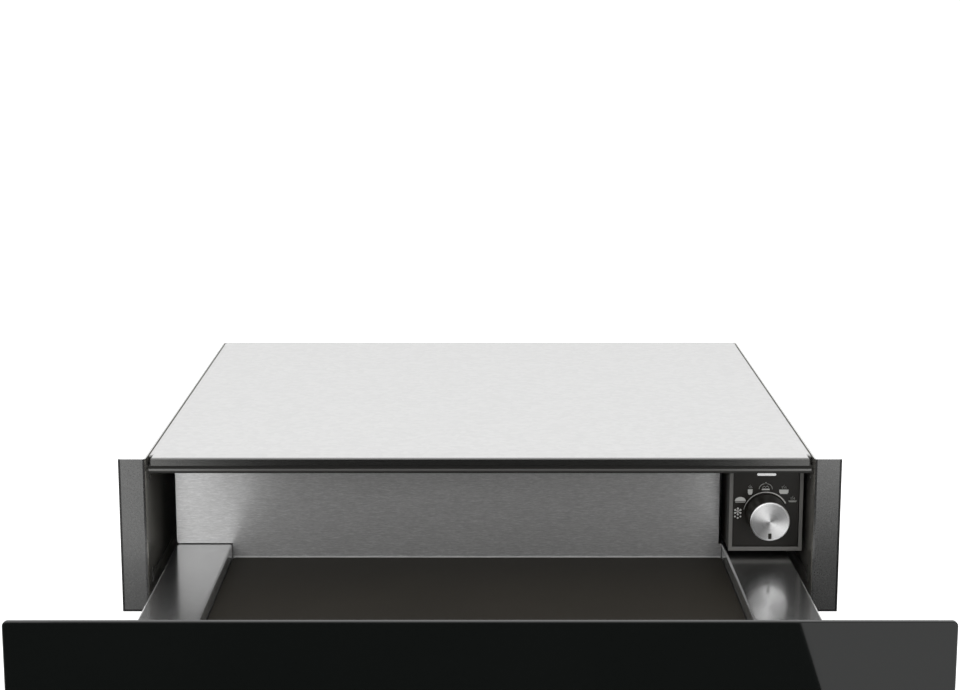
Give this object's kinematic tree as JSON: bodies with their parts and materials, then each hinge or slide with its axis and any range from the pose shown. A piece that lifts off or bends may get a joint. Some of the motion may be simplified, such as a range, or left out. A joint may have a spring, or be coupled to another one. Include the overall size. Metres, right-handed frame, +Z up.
{
  "type": "built-in warming drawer",
  "caption": "Built-in warming drawer pulled out: black glass front, brushed steel tray with mat and ledges, steel carcass with wings, rotary control inside.",
  "frame": {"origin": "bottom centre of the whole drawer pulled out, at the level the feet stand on", "axes": "+Z up, +Y back into the cabinet, +X to the right of a person facing the front"},
  "size_m": [0.597, 0.9216, 0.139],
  "materials": {
    "dark_steel": "grey powder coat, satin",
    "zinc_steel": "zinc-coated sheet, satin",
    "brushed_steel": "stainless, brushed across",
    "rubber": "matt, slightly warm black",
    "black_glass": "black toughened glass, polished",
    "black_plastic": "black, semi-gloss",
    "grey_plastic": "dark grey, satin",
    "pale_plastic": "off-white moulded",
    "lamp": "white diffuser",
    "board": "green laminate",
    "core": "fibre board",
    "aluminium": "turned, satin"
  },
  "bodies": {
    "carcass": {"carcass_base": "zinc_steel", "carcass_top": "zinc_steel", "carcass_rear": "zinc_steel", "carcass_side_left": "dark_steel", "carcass_side_right": "dark_steel", "front_rail": "dark_steel", "foot_front_left": "rubber", "foot_front_right": "rubber", "foot_rear_left": "rubber", "foot_rear_right": "rubber", "runner_bracket_left": "zinc_steel", "runner_bracket_right": "zinc_steel", "runner_outer_left": "zinc_steel", "runner_outer_right": "zinc_steel", "control_frame": "grey_plastic", "control_fascia": "black_plastic", "lamp_lens": "lamp", "control_housing": "black_plastic", "rotary_switch": "pale_plastic", "control_board": "board", "cable_duct": "grey_plastic", "fan_housing": "zinc_steel", "fan_cover": "zinc_steel", "fan_motor": "dark_steel", "heater_element": "dark_steel", "thermal_cutout": "black_plastic", "mains_inlet": "black_plastic", "terminal_block": "pale_plastic", "latch_body": "black_plastic", "latch_spring": "zinc_steel"},
    "drawer": {"drawer_tray": "brushed_steel", "drawer_mat": "rubber", "drawer_rear_wall": "brushed_steel", "front_glass": "black_glass", "front_backing": "dark_steel", "front_core": "core", "corner_bracket_left": "zinc_steel", "corner_bracket_right": "zinc_steel", "drawer_carrier_left": "zinc_steel", "drawer_carrier_right": "zinc_steel", "runner_inner_left": "zinc_steel", "runner_inner_right": "zinc_steel", "bumper_lower_left": "rubber", "bumper_lower_right": "rubber", "bumper_upper_left": "rubber", "bumper_upper_right": "rubber", "latch_striker": "zinc_steel"},
    "runner_middle_left": {"runner_middle_left": "zinc_steel"},
    "ball_cage_outer_left": {"ball_cage_outer_left": "pale_plastic"},
    "ball_cage_inner_left": {"ball_cage_inner_left": "pale_plastic"},
    "runner_middle_right": {"runner_middle_right": "zinc_steel"},
    "ball_cage_outer_right": {"ball_cage_outer_right": "pale_plastic"},
    "ball_cage_inner_right": {"ball_cage_inner_right": "pale_plastic"},
    "knob": {"knob_face": "aluminium", "knob_body": "black_plastic", "knob_pointer": "black_plastic", "knob_spindle": "zinc_steel"},
    "fan": {"fan_shaft": "zinc_steel", "fan_impeller": "aluminium"},
    "latch": {"latch_plunger": "pale_plastic"}
  },
  "joints": [
    {"name": "drawer_slide", "type": "slide", "parent": "carcass", "child": "drawer", "axis": [0, 1, 0], "range_m": [0, 0.378]},
    {"name": "runner_middle_left_slide", "type": "slide", "parent": "carcass", "child": "runner_middle_left", "axis": [0, 1, 0], "range_m": [0, 0.189]},
    {"name": "ball_cage_outer_left_slide", "type": "slide", "parent": "carcass", "child": "ball_cage_outer_left", "axis": [0, 1, 0], "range_m": [0, 0.0945]},
    {"name": "ball_cage_inner_left_slide", "type": "slide", "parent": "carcass", "child": "ball_cage_inner_left", "axis": [0, 1, 0], "range_m": [0, 0.2835]},
    {"name": "runner_middle_right_slide", "type": "slide", "parent": "carcass", "child": "runner_middle_right", "axis": [0, 1, 0], "range_m": [0, 0.189]},
    {"name": "ball_cage_outer_right_slide", "type": "slide", "parent": "carcass", "child": "ball_cage_outer_right", "axis": [0, 1, 0], "range_m": [0, 0.0945]},
    {"name": "ball_cage_inner_right_slide", "type": "slide", "parent": "carcass", "child": "ball_cage_inner_right", "axis": [0, 1, 0], "range_m": [0, 0.2835]},
    {"name": "knob_turn", "type": "hinge", "parent": "carcass", "child": "knob", "pos_m": [0.2415, -0.0532, 0.0835], "axis": [0, 1, 0], "range_deg": [0, 242]},
    {"name": "fan_spin", "type": "hinge", "parent": "carcass", "child": "fan", "pos_m": [0, 0.4206, 0.0689], "axis": [0, 1, 0], "continuous": true},
    {"name": "latch_press", "type": "slide", "parent": "carcass", "child": "latch", "axis": [0, 1, 0], "range_m": [0, 0.007], "stiffness_N_per_m": 300, "springref_m": -0.004, "deforming": ["latch_spring"]}
  ],
  "couplings": [
    {"joint": "runner_middle_left_slide", "follows": "drawer_slide", "ratio": 0.5},
    {"joint": "ball_cage_outer_left_slide", "follows": "drawer_slide", "ratio": 0.25},
    {"joint": "ball_cage_inner_left_slide", "follows": "drawer_slide", "ratio": 0.75},
    {"joint": "runner_middle_right_slide", "follows": "drawer_slide", "ratio": 0.5},
    {"joint": "ball_cage_outer_right_slide", "follows": "drawer_slide", "ratio": 0.25},
    {"joint": "ball_cage_inner_right_slide", "follows": "drawer_slide", "ratio": 0.75}
  ]
}
